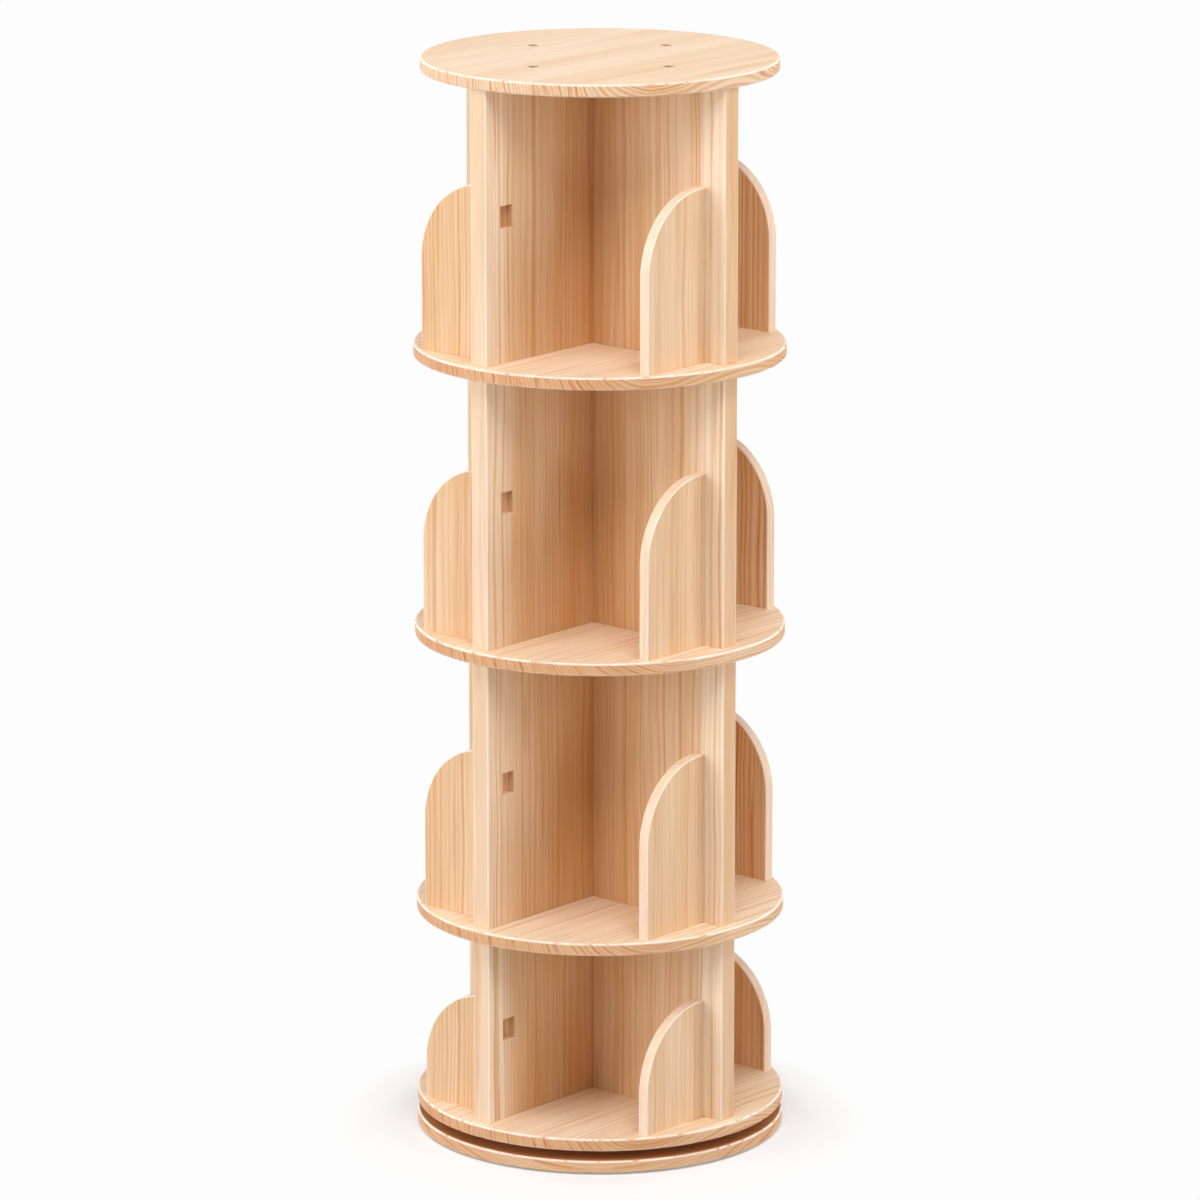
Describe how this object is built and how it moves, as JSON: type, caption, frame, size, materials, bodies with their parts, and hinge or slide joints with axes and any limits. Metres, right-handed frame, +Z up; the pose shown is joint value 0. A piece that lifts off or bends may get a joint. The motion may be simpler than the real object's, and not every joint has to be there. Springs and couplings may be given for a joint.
{
  "type": "revolving bookcase",
  "caption": "Floor-standing revolving bookcase: round pine shelves on pinwheel dividers with arched book stops, turning as one on a caged ball turntable.",
  "frame": {"origin": "on the floor, on the turning axis", "axes": "+Z up along the turning axis; +X along the first divider panel of each tier at rest"},
  "size_m": [0.4399, 0.44, 1.298],
  "materials": {
    "pine": "sanded pale pine, clear matt oil, visible grain",
    "beech": "plain turned dowel",
    "bronzed_steel": "dark bronzed screw heads, satin",
    "zinc_steel": "zinc-plated screws",
    "ring_aluminium": "plain turned aluminium",
    "ball_steel": "polished bearing steel",
    "cage_nylon": "natural nylon",
    "felt": "dark pressed felt"
  },
  "bodies": {
    "base": {"base_plate": "pine", "base_pads": "felt", "turntable_base_ring": "ring_aluminium", "base_ring_screws": "zinc_steel"},
    "carousel": {"turntable_shelf_ring": "ring_aluminium", "shelf_ring_screws": "zinc_steel", "bottom_shelf": "pine", "shelf_2": "pine", "shelf_3": "pine", "shelf_4": "pine", "top_board": "pine", "bottom_shelf_screws": "bronzed_steel", "shelf_2_screws": "bronzed_steel", "shelf_3_screws": "bronzed_steel", "shelf_4_screws": "bronzed_steel", "top_board_screws": "bronzed_steel", "tier_1_panel_a": "pine", "tier_1_panel_b": "pine", "tier_1_panel_c": "pine", "tier_1_panel_d": "pine", "tier_2_panel_a": "pine", "tier_2_panel_b": "pine", "tier_2_panel_c": "pine", "tier_2_panel_d": "pine", "tier_3_panel_a": "pine", "tier_3_panel_b": "pine", "tier_3_panel_c": "pine", "tier_3_panel_d": "pine", "tier_4_panel_a": "pine", "tier_4_panel_b": "pine", "tier_4_panel_c": "pine", "tier_4_panel_d": "pine", "tier_1_stop_a": "pine", "tier_1_stop_b": "pine", "tier_1_stop_c": "pine", "tier_1_stop_d": "pine", "tier_2_stop_a": "pine", "tier_2_stop_b": "pine", "tier_2_stop_c": "pine", "tier_2_stop_d": "pine", "tier_3_stop_a": "pine", "tier_3_stop_b": "pine", "tier_3_stop_c": "pine", "tier_3_stop_d": "pine", "tier_4_stop_a": "pine", "tier_4_stop_b": "pine", "tier_4_stop_c": "pine", "tier_4_stop_d": "pine", "tier_1_dowels": "beech", "tier_2_dowels": "beech", "tier_3_dowels": "beech", "tier_4_dowels": "beech"},
    "ball_row": {"ball_cage": "cage_nylon", "turntable_balls": "ball_steel"}
  },
  "joints": [
    {"name": "carousel_spin", "type": "hinge", "parent": "base", "child": "carousel", "pos_m": [0, 0, 0.023], "axis": [0, 0, 1], "continuous": true},
    {"name": "ball_row_spin", "type": "hinge", "parent": "base", "child": "ball_row", "pos_m": [0, 0, 0.023], "axis": [0, 0, 1], "continuous": true}
  ],
  "couplings": [
    {"joint": "ball_row_spin", "follows": "carousel_spin", "ratio": 0.5}
  ]
}
